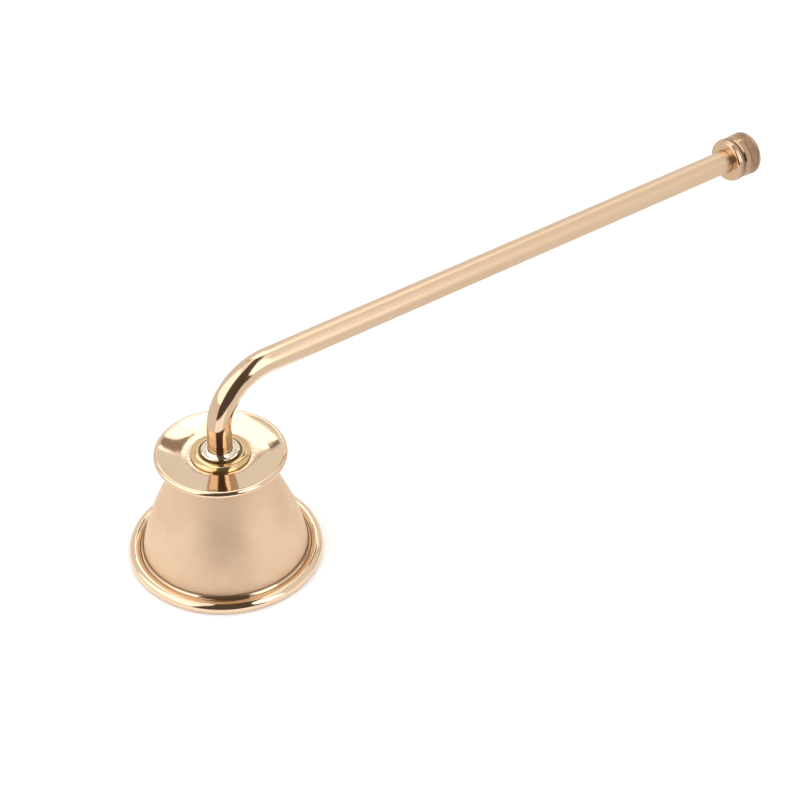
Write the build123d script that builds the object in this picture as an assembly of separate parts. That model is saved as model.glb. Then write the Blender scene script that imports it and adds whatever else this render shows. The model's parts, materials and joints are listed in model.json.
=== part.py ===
from build123d import *
import math
import os

# Candle snuffer: a flared bell that stands on its moulded rim, with a bent tube handle that ends in a
# knurled screw knob. Millimetres. The origin is the centre of the circle that the rim rests on, +Z runs up
# the bell's axis and the handle reaches out along +X.

# Fits between pieces
slip_fit = 0.05
running_fit = 0.06
bolt_clearance = 0.15

# Bell rim: a roll outside, a step up from its groove to the skirt, and a rebate that carries the skirt
rim_diameter = 50.0
rim_roll_radius = 1.65
rim_roll_flat = 0.45
rim_groove_height = 2.1
rim_step_width = 0.55
rim_step_rise = 1.0
rim_step_ledge = 0.2
rim_step_bow_share = 0.06
skirt_seat_height = 1.4

# Bell skirt: a flared shell with a closed crown
bell_height = 30.4
flare_foot_height = 2.8
neck_diameter = 24.6
skirt_wall = 2.2
crown_thickness = 2.0
flare_height_shares = (0.0, 0.25, 0.5, 0.75, 1.0)
flare_radius_shares = (1.0, 0.814, 0.523, 0.217, 0.0)

# Top dish: level in its middle, then rising to its rolled bead
dish_thickness = 1.4
dish_level_diameter = 16.4
dish_rise = 1.1
dish_bow_share = 0.037
bead_diameter = 33.6
bead_radius = 0.9
bead_lift = 0.3
dish_foot_share = 0.3
dish_cove_bow_share = 0.16

# Check collar on the dish, recessed for the ferrule
collar_diameter = 15.1
collar_edge_height = 0.6
collar_height = 1.25
collar_recess_depth = 0.35
collar_recess_gap = 0.6
collar_land = 0.4
collar_bow_share = 0.08

# Flared ferrule round the handle's foot
ferrule_diameter = 9.8
ferrule_lip_height = 0.8
ferrule_edge_chamfer = 0.2
ferrule_height = 1.5
ferrule_seat = 0.7
ferrule_mouth_wall = 0.35
ferrule_cove_bow_share = 0.1

# Handle: a thin tube with one bend of a quarter turn
tube_diameter = 6.35
tube_wall = 0.45
leg_length = 6.3
bend_radius = 15.0
straight_length = 150.9

# Stud, washers and nut that clamp the handle to the bell
stud_diameter = 4.0
stud_plug_share = 0.85
stud_past_nut = 1.1
stud_chamfer = 0.3
washer_diameter = 12.0
washer_thickness = 1.0
spring_washer_diameter = 7.6
spring_washer_thickness = 1.0
spring_washer_split = 0.8
nut_across_flats = 7.0
nut_height = 3.2
nut_chamfer = 0.35

# Bush in the handle's end, and the knob's stud
bush_length = 6.5
knob_stud_diameter = 3.0
thread_engagement = 5.4

# Neck ring: caps the tube's end and rides on the knob's hub
ring_diameter = 12.0
ring_shoulder_diameter = 11.7
ring_shoulder_round = 0.75
ring_edge_diameter = 11.1
ring_sleeve_length = 0.4
ring_recess_depth = 0.9
ring_web_thickness = 1.4

# Knob: hub with a swaged lip, polished front land, knurled band and domed end
hub_diameter = 4.6
hub_lip_diameter = 5.4
hub_lip_thickness = 0.55
hub_lip_gap = 0.15
knob_diameter = 12.0
knob_land_diameter = 11.7
knob_front_diameter = 10.8
knob_front_length = 0.4
knob_land_length = 1.5
knob_groove_width = 0.35
knob_groove_depth = 0.25
knurl_length = 2.3
knob_shoulder_length = 1.55
knob_shoulder_bow_share = 0.2
knob_dome_share = 0.68
knob_dome_height = 0.7
knob_stud_depth = 3.6

# Radii
rim_radius = rim_diameter / 2
neck_radius = neck_diameter / 2
bead_outer_radius = bead_diameter / 2
collar_radius = collar_diameter / 2
ferrule_radius = ferrule_diameter / 2
tube_radius = tube_diameter / 2
tube_bore_radius = tube_radius - tube_wall
stud_radius = stud_diameter / 2
stud_hole_radius = stud_radius + bolt_clearance
thread_bore_radius = stud_radius + slip_fit
knob_stud_radius = knob_stud_diameter / 2

# Heights up the bell's axis
roll_height = rim_roll_radius - rim_roll_flat
dish_floor = bell_height + dish_thickness
collar_recess_floor = dish_floor + collar_height - collar_recess_depth
tube_foot = collar_recess_floor + ferrule_seat
axis_height = tube_foot + leg_length + bend_radius
crown_underside = bell_height - crown_thickness
washer_base = crown_underside - washer_thickness
spring_washer_base = washer_base - spring_washer_thickness
nut_base = spring_washer_base - nut_height

# Places along the handle
tube_end = bend_radius + straight_length
knob_front = ring_recess_depth + ring_web_thickness


def turned(outline):
    """Revolve a flat outline, x as radius and y as height, about the Z axis."""
    return revolve(Plane.XZ * outline, Axis.Z)


def block(inner, outer, low, high):
    """A rectangle of an outline, from the inner to the outer radius and from low to high."""
    return Pos((inner + outer) / 2, (low + high) / 2) * Rectangle(outer - inner, high - low)


def plain_ring(inner, outer, base, height):
    """A plain ring about Z, its base at the given height."""
    return turned(block(inner, outer, base, base + height))


def bowed(start, end, bow_share):
    """An arc from start to end whose bow, to the left of that way, is a share of the chord."""
    run_x, run_y = end[0] - start[0], end[1] - start[1]
    middle = (
        start[0] + run_x / 2 - run_y * bow_share,
        start[1] + run_y / 2 + run_x * bow_share,
    )
    return ThreePointArc(start, middle, end)


def domed(edge, height):
    """An arc from edge in to the axis, level where it meets the axis, that rises by height."""
    radius = (edge[0] ** 2 + height**2) / (2 * height)
    half_angle = math.asin(edge[0] / radius) / 2
    apex = edge[1] + height
    middle = (radius * math.sin(half_angle), apex - radius + radius * math.cos(half_angle))
    return ThreePointArc(edge, middle, (0, apex))


def on_handle_end(solid):
    """Lay a piece that is turned about Z on the handle's axis, its zero at the tube's end."""
    place = Plane(origin=(tube_end, 0, axis_height), x_dir=(0, 1, 0), z_dir=(1, 0, 0))
    return place * solid


def skirt_foot_radius():
    """The skirt's outside at the rim, inside the roll and the step."""
    return rim_radius - 2 * rim_roll_radius - rim_step_width


def make_rim_moulding():
    foot = skirt_foot_radius()
    bore, rebate = foot - skirt_wall, foot + slip_fit
    roll_centre = rim_radius - rim_roll_radius
    rest_edge = (roll_centre + math.sqrt(rim_roll_radius**2 - roll_height**2), 0)
    crest = (roll_centre, roll_height + rim_roll_radius)
    groove_drop = rim_groove_height - roll_height
    groove = (roll_centre - math.sqrt(rim_roll_radius**2 - groove_drop**2), rim_groove_height)
    top = rim_groove_height + rim_step_rise
    step_top = (foot + rim_step_ledge, top)
    edges = [
        Line((bore, 0), rest_edge),
        ThreePointArc(rest_edge, crest, groove),
        bowed(groove, step_top, -rim_step_bow_share),
        Line(step_top, (rebate, top)),
        Line((rebate, top), (rebate, skirt_seat_height)),
        Line((rebate, skirt_seat_height), (bore, skirt_seat_height)),
        Line((bore, skirt_seat_height), (bore, 0)),
    ]
    return turned(make_face(edges))


def flare_points(inset):
    """Points down the skirt's flare, drawn in by the given amount."""
    foot = skirt_foot_radius()
    rise = bell_height - flare_foot_height
    spread = foot - neck_radius
    return [
        (neck_radius + spread * radius_share - inset, flare_foot_height + rise * height_share)
        for height_share, radius_share in zip(flare_height_shares, flare_radius_shares)
    ]


def make_bell_skirt():
    outside, inside = flare_points(0), flare_points(skirt_wall)
    seat_out = (outside[0][0], skirt_seat_height)
    seat_in = (inside[0][0], skirt_seat_height)
    edges = [
        Line(seat_out, outside[0]),
        Spline(*outside),
        Line(outside[-1], inside[-1]),
        Spline(*inside),
        Line(inside[0], seat_in),
        Line(seat_in, seat_out),
    ]
    crown = block(stud_hole_radius, neck_radius - skirt_wall / 2, crown_underside, bell_height)
    return turned(make_face(edges) + crown)


def make_top_dish():
    bead_centre = (bead_outer_radius - bead_radius, dish_floor + bead_lift)
    bead_bottom = (bead_centre[0], bead_centre[1] - bead_radius)
    foot = (neck_radius + dish_foot_share * (bead_centre[0] - neck_radius), bell_height)
    floor_edge = (bead_centre[0] - math.sqrt(bead_radius**2 - (dish_rise - bead_lift) ** 2), dish_floor + dish_rise)
    level_edge = (dish_level_diameter / 2, dish_floor)
    edges = [
        Line((stud_hole_radius, bell_height), foot),
        bowed(foot, bead_bottom, dish_cove_bow_share),
        Line(bead_bottom, bead_centre),
        Line(bead_centre, floor_edge),
        bowed(floor_edge, level_edge, dish_bow_share),
        Line(level_edge, (stud_hole_radius, dish_floor)),
        Line((stud_hole_radius, dish_floor), (stud_hole_radius, bell_height)),
    ]
    bead = Pos(*bead_centre) * Circle(bead_radius)
    return turned(make_face(edges) + bead)


def make_check_collar():
    top = dish_floor + collar_height
    recess = ferrule_radius + collar_recess_gap
    outer_top = (collar_radius, dish_floor + collar_edge_height)
    land = (recess + collar_land, top)
    edges = [
        Line((stud_hole_radius, dish_floor), (collar_radius, dish_floor)),
        Line((collar_radius, dish_floor), outer_top),
        bowed(outer_top, land, -collar_bow_share),
        Line(land, (recess, top)),
        Line((recess, top), (recess, collar_recess_floor)),
        Line((recess, collar_recess_floor), (stud_hole_radius, collar_recess_floor)),
        Line((stud_hole_radius, collar_recess_floor), (stud_hole_radius, dish_floor)),
    ]
    return turned(make_face(edges))


def make_foot_ferrule():
    base = collar_recess_floor
    socket = tube_radius + slip_fit
    mouth = socket + ferrule_mouth_wall
    lip = base + ferrule_lip_height
    top = base + ferrule_height
    edges = [
        Line((thread_bore_radius, base), (ferrule_radius - ferrule_edge_chamfer, base)),
        Line((ferrule_radius - ferrule_edge_chamfer, base), (ferrule_radius, base + ferrule_edge_chamfer)),
        Line((ferrule_radius, base + ferrule_edge_chamfer), (ferrule_radius, lip)),
        bowed((ferrule_radius, lip), (mouth, top), ferrule_cove_bow_share),
        Line((mouth, top), (socket, top)),
        Line((socket, top), (socket, tube_foot)),
        Line((socket, tube_foot), (thread_bore_radius, tube_foot)),
        Line((thread_bore_radius, tube_foot), (thread_bore_radius, base)),
    ]
    return turned(make_face(edges))


def make_handle_tube():
    corners = ((0, 0, tube_foot), (0, 0, axis_height), (tube_end, 0, axis_height))
    path = FilletPolyline(*corners, radius=bend_radius)
    section = Plane.XY.offset(tube_foot) * (Circle(tube_radius) - Circle(tube_bore_radius))
    return sweep(section, path=path)


def make_foot_stud():
    plug_radius = tube_bore_radius - slip_fit
    plug_top = tube_foot + leg_length * stud_plug_share
    tip = nut_base - stud_past_nut
    edges = [
        Line((0, tip), (stud_radius - stud_chamfer, tip)),
        Line((stud_radius - stud_chamfer, tip), (stud_radius, tip + stud_chamfer)),
        Line((stud_radius, tip + stud_chamfer), (stud_radius, tube_foot)),
        Line((stud_radius, tube_foot), (plug_radius, tube_foot)),
        Line((plug_radius, tube_foot), (plug_radius, plug_top)),
        Line((plug_radius, plug_top), (0, plug_top)),
        Line((0, plug_top), (0, tip)),
    ]
    return turned(make_face(edges))


def make_clamp_washer():
    return plain_ring(stud_hole_radius, washer_diameter / 2, washer_base, washer_thickness)


def make_spring_washer():
    outer = spring_washer_diameter / 2
    ring = plain_ring(thread_bore_radius, outer, spring_washer_base, spring_washer_thickness)
    slot = Box(spring_washer_diameter, spring_washer_split, 2 * spring_washer_thickness)
    middle = spring_washer_base + spring_washer_thickness / 2
    return ring - Pos(-outer, 0, middle) * slot


def make_clamp_nut():
    flat_radius = nut_across_flats / 2
    hexagon = RegularPolygon(flat_radius, 6, major_radius=False) - Circle(thread_bore_radius)
    blank = extrude(Plane.XY.offset(nut_base) * hexagon, nut_height)
    corner = flat_radius / math.cos(math.pi / 6)
    edges = [
        Line((0, nut_base), (flat_radius, nut_base)),
        Line((flat_radius, nut_base), (corner, nut_base + nut_chamfer)),
        Line((corner, nut_base + nut_chamfer), (corner, spring_washer_base)),
        Line((corner, spring_washer_base), (0, spring_washer_base)),
        Line((0, spring_washer_base), (0, nut_base)),
    ]
    return blank & turned(make_face(edges))


def make_end_bush():
    bore = knob_stud_radius + running_fit
    return on_handle_end(plain_ring(bore, tube_bore_radius - slip_fit, -bush_length, bush_length))


def make_neck_ring():
    bore = tube_radius + running_fit
    mouth = -ring_sleeve_length
    round_centre = (ring_shoulder_diameter / 2 - ring_shoulder_round, mouth + ring_shoulder_round)
    round_reach = ring_shoulder_round * math.sqrt(1 / 2)
    face_edge = (round_centre[0], mouth)
    round_middle = (round_centre[0] + round_reach, round_centre[1] - round_reach)
    shoulder = (ring_shoulder_diameter / 2, round_centre[1])
    crest = (ring_diameter / 2, (shoulder[1] + knob_front) / 2)
    back = (ring_edge_diameter / 2, knob_front)
    hub_bore = hub_diameter / 2 + running_fit
    recess = hub_lip_diameter / 2 + running_fit
    edges = [
        Line((bore, mouth), face_edge),
        ThreePointArc(face_edge, round_middle, shoulder),
        ThreePointArc(shoulder, crest, back),
        Line(back, (hub_bore, knob_front)),
        Line((hub_bore, knob_front), (hub_bore, ring_recess_depth)),
        Line((hub_bore, ring_recess_depth), (recess, ring_recess_depth)),
        Line((recess, ring_recess_depth), (recess, 0)),
        Line((recess, 0), (bore, 0)),
        Line((bore, 0), (bore, mouth)),
    ]
    return on_handle_end(turned(make_face(edges)))


def make_end_knob():
    hole = knob_stud_radius + slip_fit
    hole_end = knob_front + knob_stud_depth
    lip_radius, hub_radius = hub_lip_diameter / 2, hub_diameter / 2
    lip_back = ring_recess_depth - hub_lip_gap
    lip_front = lip_back - hub_lip_thickness
    front_radius, land_radius = knob_front_diameter / 2, knob_land_diameter / 2
    land_start = knob_front + knob_front_length
    groove_start = land_start + knob_land_length
    groove_end = groove_start + knob_groove_width
    knob_radius = knob_diameter / 2
    knurl_end = groove_end + knurl_length
    shoulder_end = knurl_end + knob_shoulder_length
    groove_floor = (land_radius - knob_groove_depth, (groove_start + groove_end) / 2)
    shoulder = (knob_radius * knob_dome_share, shoulder_end)
    edges = [
        Line((hole, lip_front), (lip_radius, lip_front)),
        Line((lip_radius, lip_front), (lip_radius, lip_back)),
        Line((lip_radius, lip_back), (hub_radius, lip_back)),
        Line((hub_radius, lip_back), (hub_radius, knob_front)),
        Line((hub_radius, knob_front), (front_radius, knob_front)),
        Line((front_radius, knob_front), (land_radius, land_start)),
        Line((land_radius, land_start), (land_radius, groove_start)),
        Line((land_radius, groove_start), groove_floor),
        Line(groove_floor, (knob_radius, groove_end)),
        Line((knob_radius, groove_end), (knob_radius, knurl_end)),
        bowed((knob_radius, knurl_end), shoulder, -knob_shoulder_bow_share),
        domed(shoulder, knob_dome_height),
        Line((0, shoulder_end + knob_dome_height), (0, hole_end)),
        Line((0, hole_end), (hole, hole_end)),
        Line((hole, hole_end), (hole, lip_front)),
    ]
    return on_handle_end(turned(make_face(edges)))


def make_knob_stud():
    tip = knob_front + knob_stud_depth
    return on_handle_end(turned(block(0, knob_stud_radius, -thread_engagement, tip)))


pieces = {
    "rim_moulding": make_rim_moulding,
    "bell_skirt": make_bell_skirt,
    "top_dish": make_top_dish,
    "check_collar": make_check_collar,
    "foot_ferrule": make_foot_ferrule,
    "handle_tube": make_handle_tube,
    "foot_stud": make_foot_stud,
    "clamp_washer": make_clamp_washer,
    "spring_washer": make_spring_washer,
    "clamp_nut": make_clamp_nut,
    "end_bush": make_end_bush,
    "neck_ring": make_neck_ring,
    "end_knob": make_end_knob,
    "knob_stud": make_knob_stud,
}

os.makedirs("parts", exist_ok=True)
for node, make in pieces.items():
    export_step(make(), f"parts/{node}.step")
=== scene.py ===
import cmath
import json
from math import asin, atan, copysign, cos, pi, radians, sin, sqrt, tan

import bpy
import numpy as np
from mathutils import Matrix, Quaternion, Vector

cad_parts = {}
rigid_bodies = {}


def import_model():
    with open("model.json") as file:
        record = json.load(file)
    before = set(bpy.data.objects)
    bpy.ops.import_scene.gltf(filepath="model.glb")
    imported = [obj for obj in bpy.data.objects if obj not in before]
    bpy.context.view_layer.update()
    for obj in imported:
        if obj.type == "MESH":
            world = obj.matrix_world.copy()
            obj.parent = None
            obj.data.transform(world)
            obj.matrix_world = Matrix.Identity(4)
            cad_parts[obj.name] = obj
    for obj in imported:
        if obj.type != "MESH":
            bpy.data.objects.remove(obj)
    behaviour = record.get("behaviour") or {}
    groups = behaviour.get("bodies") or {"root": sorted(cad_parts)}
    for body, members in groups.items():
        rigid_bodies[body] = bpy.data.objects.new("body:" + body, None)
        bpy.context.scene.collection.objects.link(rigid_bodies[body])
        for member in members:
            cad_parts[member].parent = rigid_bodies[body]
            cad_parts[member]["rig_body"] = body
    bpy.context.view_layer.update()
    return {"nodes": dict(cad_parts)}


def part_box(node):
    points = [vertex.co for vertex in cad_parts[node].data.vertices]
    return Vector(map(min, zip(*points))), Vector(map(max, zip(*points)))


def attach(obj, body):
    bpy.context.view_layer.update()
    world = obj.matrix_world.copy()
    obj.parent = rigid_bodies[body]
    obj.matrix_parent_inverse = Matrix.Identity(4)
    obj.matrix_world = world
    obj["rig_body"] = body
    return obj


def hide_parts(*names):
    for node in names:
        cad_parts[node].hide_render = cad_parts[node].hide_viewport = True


# Candle snuffer in rose brass. Metres, in the frame of the solids: the origin is the centre of the circle
# that the rim rests on, +Z runs up the bell's axis and the handle reaches out along +X.
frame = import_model()

mm = 0.001

# Fits and edges
slip_fit = 0.05 * mm
running_fit = 0.06 * mm
bolt_clearance = 0.15 * mm
fine_edge = 0.05 * mm
soft_edge = 0.12 * mm

# Bell rim
rim_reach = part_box("rim_moulding")[1].x
rim_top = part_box("rim_moulding")[1].z
rim_roll = 1.65 * mm
rim_roll_centre = complex(rim_reach - rim_roll, rim_roll - 0.45 * mm)
rim_groove_height = 2.1 * mm
rim_groove_drop = rim_groove_height - rim_roll_centre.imag
rim_groove_radius = rim_roll_centre.real - sqrt(rim_roll**2 - rim_groove_drop**2)
rim_step_ledge = 0.2 * mm
rim_step_bow = 0.06

# Bell skirt
skirt_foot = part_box("bell_skirt")[1].x
skirt_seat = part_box("bell_skirt")[0].z
bell_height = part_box("bell_skirt")[1].z
neck_radius = 12.3 * mm
skirt_wall = 2.2 * mm
crown_thickness = 2.0 * mm
flare_foot = 2.8 * mm
flare_height_shares = (0.0, 0.25, 0.5, 0.75, 1.0)
flare_radius_shares = (1.0, 0.814, 0.523, 0.217, 0.0)

# Top dish
bead_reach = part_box("top_dish")[1].x
bead_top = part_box("top_dish")[1].z
bead_radius = 0.9 * mm
dish_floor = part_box("check_collar")[0].z
dish_level_radius = 8.2 * mm
dish_rise = 1.1 * mm
dish_bow = 0.037
dish_foot_share = 0.3
dish_cove_bow = 0.16

# Check collar
collar_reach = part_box("check_collar")[1].x
collar_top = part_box("check_collar")[1].z
collar_edge_height = 0.6 * mm
collar_recess_gap = 0.6 * mm
collar_land = 0.4 * mm
collar_bow = 0.08

# Ferrule round the handle's foot
ferrule_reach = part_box("foot_ferrule")[1].x
ferrule_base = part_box("foot_ferrule")[0].z
ferrule_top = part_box("foot_ferrule")[1].z
ferrule_lip = 0.8 * mm
ferrule_chamfer = 0.2 * mm
ferrule_mouth_wall = 0.35 * mm
ferrule_cove_bow = 0.1

# Handle tube
tube_radius = -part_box("handle_tube")[0].x
tube_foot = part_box("handle_tube")[0].z
tube_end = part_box("handle_tube")[1].x
axis_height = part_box("handle_tube")[1].z - tube_radius
tube_bend = 15.0 * mm
tube_wall = 0.45 * mm
tube_sides, bend_steps = 128, 64
tube_bore = tube_radius - tube_wall
plug_radius = tube_bore - slip_fit

# Stud, washers and nut under the crown
stud_radius = 2.0 * mm
bolt_hole = stud_radius + bolt_clearance
stud_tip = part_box("foot_stud")[0].z
stud_plug_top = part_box("foot_stud")[1].z
stud_chamfer = 0.3 * mm
stud_pitch = 0.7 * mm
thread_depth_share = 0.61
thread_foot_share = 0.49
washer_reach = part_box("clamp_washer")[1].x
washer_base, washer_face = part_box("clamp_washer")[0].z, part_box("clamp_washer")[1].z
spring_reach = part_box("spring_washer")[1].x
spring_base, spring_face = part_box("spring_washer")[0].z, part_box("spring_washer")[1].z
spring_split = 0.8 * mm
spring_split_slant = 0.5 * mm
nut_base, nut_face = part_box("clamp_nut")[0].z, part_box("clamp_nut")[1].z
nut_flat = 3.5 * mm
nut_corner = nut_flat / cos(pi / 6)
nut_chamfer = 0.35 * mm

# Bush, neck ring, knob and its stud, in heights along the handle's axis from the tube's end
bush_inner_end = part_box("end_bush")[0].x - tube_end
ring_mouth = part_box("neck_ring")[0].x - tube_end
knob_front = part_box("neck_ring")[1].x - tube_end
ring_crest_reach = 5.99 * mm
ring_shoulder_reach = 5.85 * mm
ring_shoulder_round = 0.75 * mm
ring_edge_reach = 5.55 * mm
ring_recess_depth = 0.9 * mm
hub_radius = 2.3 * mm
hub_lip_radius = 2.7 * mm
hub_lip_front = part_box("end_knob")[0].x - tube_end
hub_lip_back = 0.75 * mm
knob_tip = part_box("end_knob")[1].x - tube_end
knob_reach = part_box("end_knob")[1].z - axis_height
knob_land_reach = 5.85 * mm
knob_front_reach = 5.4 * mm
knob_front_length = 0.4 * mm
knob_land_length = 1.5 * mm
knob_groove_width = 0.35 * mm
knob_groove_depth = 0.25 * mm
knurl_length = 2.3 * mm
knob_land_start = knob_front + knob_front_length
knob_groove_start = knob_land_start + knob_land_length
knurl_start = knob_groove_start + knob_groove_width
knurl_end = knurl_start + knurl_length
knob_shoulder_length = 1.55 * mm
knob_shoulder_bow = 0.2
knob_dome_share = 0.68
knurl_depth = 0.14 * mm
knurl_teeth = 40
knurl_rows = 4
knurl_top_share = 0.3
knob_stud_radius = 1.5 * mm
knob_stud_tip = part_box("knob_stud")[0].x - tube_end
knob_stud_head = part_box("knob_stud")[1].x - tube_end
knob_stud_pitch = 0.5 * mm

# Where turned pieces stand: origin, first and second way across, axis
upright = (Vector((0, 0, 0)), Vector((1, 0, 0)), Vector((0, 1, 0)), Vector((0, 0, 1)))
on_handle = (Vector((tube_end, 0, axis_height)), Vector((0, 1, 0)), Vector((0, 0, 1)), Vector((1, 0, 0)))


# Sections. A run is a list of places on a flat section, each a complex number of radius and height with the
# heading there. The metal is on the left of the way, so the outside is on its right.


def rolled(centre, spoke, sweep, steps=24):
    """A run round a centre, from the end of its spoke through the angle of the sweep."""
    side = 1j * copysign(1, sweep)
    spokes = [spoke * cmath.exp(1j * sweep * step / steps) for step in range(steps + 1)]
    return [(centre + arm, side * arm / abs(arm)) for arm in spokes]


def bowed(start, end, bow, steps=24):
    """A run on an arc whose bow, to the left of its way, is a share of the chord."""
    centre = (start + end) / 2 - 1j * (end - start) * (0.25 - bow**2) / (2 * bow)
    return rolled(centre, start - centre, -4 * atan(2 * bow), steps)


def flared(places, steps=64):
    """A run on the smooth curve through the places, free at both ends."""
    place = np.array(places)
    reach = np.concatenate([[0], np.cumsum(abs(np.diff(place)))])
    gap = np.diff(reach)
    last = len(place) - 1
    rules, sums = np.eye(last + 1), np.zeros(last + 1, complex)
    for here in range(1, last):
        rules[here, here - 1 : here + 2] = gap[here - 1], 2 * (gap[here - 1] + gap[here]), gap[here]
        sums[here] = 6 * (np.diff(place)[here] / gap[here] - np.diff(place)[here - 1] / gap[here - 1])
    bend = np.linalg.solve(rules, sums)
    run = []
    for distance in np.linspace(0, reach[-1], steps + 1):
        part = min(int(np.searchsorted(reach, distance, side="right")) - 1, last - 1)
        ahead, behind, width = distance - reach[part], reach[part + 1] - distance, gap[part]
        low = place[part] / width - bend[part] * width / 6
        high = place[part + 1] / width - bend[part + 1] * width / 6
        curve = (bend[part] * behind**3 + bend[part + 1] * ahead**3) / (6 * width)
        point = curve + low * behind + high * ahead
        way = (bend[part + 1] * ahead**2 - bend[part] * behind**2) / (2 * width) - low + high
        run.append((complex(point), complex(way / abs(way))))
    return run


def cornered(*places):
    """Straight runs from place to place, where a pair is a radius and a height."""
    places = [complex(*place) if isinstance(place, tuple) else place for place in places]
    runs = []
    for start, end in zip(places, places[1:]):
        heading = (end - start) / abs(end - start)
        runs.append([(start, heading), (end, heading)])
    return runs


def joined(runs, edge, closed=True, steps=6):
    """Runs as one section, with each corner between them broken to the edge radius."""
    cuts, turns = [], []
    for run, following in zip(runs, runs[1:] + runs[:1]):
        turn = cmath.phase(following[0][1] / run[-1][1])
        room = min(abs(run[-1][0] - run[0][0]), abs(following[-1][0] - following[0][0]))
        cut = min(edge * tan(min(abs(turn), 3) / 2), 0.45 * room)
        cuts.append(cut if abs(turn) > 0.02 else 0)
        turns.append(turn)
    if not closed:
        cuts[-1] = 0
    section = []
    for index, run in enumerate(runs):
        (start, way_in), (end, way_out) = run[0], run[-1]
        before, after = cuts[index - 1], cuts[index]
        section.append((start + way_in * before, way_in))
        near, far = 1.1 * before, 1.1 * after
        section += [at for at in run[1:-1] if abs(at[0] - start) > near and abs(at[0] - end) > far]
        corner = end - way_out * after
        section.append((corner, way_out))
        if after:
            side = copysign(1, turns[index])
            spoke = -1j * side * way_out * after / tan(abs(turns[index]) / 2)
            section += rolled(corner - spoke, spoke, turns[index], steps)[1:-1]
    kept = [section[0]]
    kept += [at for at, last in zip(section[1:], section) if abs(at[0] - last[0]) > 1e-9]
    return kept


# Meshes


def shown(name, data):
    """An object in the scene for a mesh, a lamp or a camera."""
    piece = bpy.data.objects.new(name, data)
    bpy.context.scene.collection.objects.link(piece)
    return piece


def woven(rows, row, rows_close=False, row_closes=False):
    """Faces between rows of places, each row that long. What closes meets in a ring."""
    return [
        [low * row + at, high * row + at, high * row + on, low * row + on]
        for low in range(rows if rows_close else rows - 1)
        for high in [(low + 1) % rows]
        for at in range(row if row_closes else row - 1)
        for on in [(at + 1) % row]
    ]


def meshed(name, places, faces, normals=None, crease=None):
    """A smooth mesh from places and faces, with normals at its places or with creases over an angle."""
    mesh = bpy.data.meshes.new(name)
    mesh.from_pydata([tuple(place) for place in places], [], faces)
    mesh.shade_smooth()
    if normals is not None:
        mesh.normals_split_custom_set_from_vertices([tuple(normal) for normal in normals])
    if crease is not None:
        mesh.set_sharp_from_angle(angle=crease)
    return shown(name, mesh)


def turned(name, section, stand, closed=True, turns=288):
    """A piece turned from a section, with its normals. An open section starts and ends on the axis."""
    origin, first, second, axis = (np.array(way) for way in stand)
    angles = np.linspace(0, 2 * pi, turns, endpoint=False)
    around = np.outer(np.cos(angles), first) + np.outer(np.sin(angles), second)
    places, normals, rings = [], [], []
    for point, heading in section:
        outward = -1j * heading
        count = turns if point.real > 1e-9 else 1
        rings.append([len(places) + (turn if count > 1 else 0) for turn in range(turns)])
        places += list(origin + point.imag * axis + point.real * around[:count])
        normals += list(outward.imag * axis + outward.real * around[:count])
    faces = []
    for lower, upper in zip(rings, rings[1:] + rings[:1] if closed else rings[1:]):
        for turn in range(turns):
            following = (turn + 1) % turns
            corners = (lower[turn], lower[following], upper[following], upper[turn])
            faces.append(list(dict.fromkeys(corners)))
    piece = meshed(name, places, faces, normals)
    facing = piece.data.attributes.new("hollow", "FLOAT", "POINT")
    inward = [out.dot(place - origin) < 0 or axis.dot(out) < -0.5 for place, out in zip(places, normals)]
    facing.data.foreach_set("value", [float(side) for side in inward])
    return piece


def fused(name, *parts):
    """One mesh from parts that are one piece of metal, each with its own shading kept."""
    places, faces, normals = [], [], []
    for part in parts:
        first = len(places)
        places += [vertex.co[:] for vertex in part.data.vertices]
        faces += [[first + corner for corner in face.vertices] for face in part.data.polygons]
        normals += [normal.vector[:] for normal in part.data.corner_normals]
        bpy.data.objects.remove(part)
    whole = meshed(name, places, faces)
    whole.data.normals_split_custom_set(normals)
    return whole


# Nodes, for geometry and for finishes alike


class Sum:
    """A number on a node's socket, so that node maths reads as it is written."""

    def __init__(self, tree, socket):
        self.tree, self.socket = tree, socket

    def does(self, operation, *others):
        sockets = {place + 1: other for place, other in enumerate(others)}
        node = add(self.tree, "ShaderNodeMath", {"operation": operation}, {0: self, **sockets})
        return Sum(self.tree, node.outputs[0])

    def held(self):
        """From 0 to 1, whatever lies beyond."""
        return Sum(self.tree, add(self.tree, "ShaderNodeClamp", {}, {0: self}).outputs[0])

    def fade(self, low, high):
        """0 below low and 1 above high, with a smooth step between."""
        smooth = {"interpolation_type": "SMOOTHSTEP"}
        node = add(self.tree, "ShaderNodeMapRange", smooth, {0: self, 1: low, 2: high})
        return Sum(self.tree, node.outputs[0])

    def __add__(self, other):
        return self.does("ADD", other)

    def __sub__(self, other):
        return self.does("SUBTRACT", other)

    def __rsub__(self, other):
        return (self * -1).does("ADD", other)

    def __mul__(self, other):
        return self.does("MULTIPLY", other)

    def __truediv__(self, other):
        return self.does("DIVIDE", other)

    __radd__, __rmul__ = __add__, __mul__


def plug(tree, node, sockets):
    """Gives a node's sockets their values or links."""
    for place, value in sockets.items():
        value = value.socket if isinstance(value, Sum) else value
        if isinstance(value, bpy.types.NodeSocket):
            tree.links.new(value, node.inputs[place])
        else:
            node.inputs[place].default_value = value


def add(tree, kind, settings=None, sockets=None):
    """A node of that kind, with its settings made before its sockets are plugged."""
    node = tree.nodes.new(kind)
    for setting, choice in (settings or {}).items():
        setattr(node, setting, choice)
    plug(tree, node, sockets or {})
    return node


def vector(tree, x, y, z):
    """A vector from three numbers."""
    return add(tree, "ShaderNodeCombineXYZ", {}, {0: x, 1: y, 2: z}).outputs[0]


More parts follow.
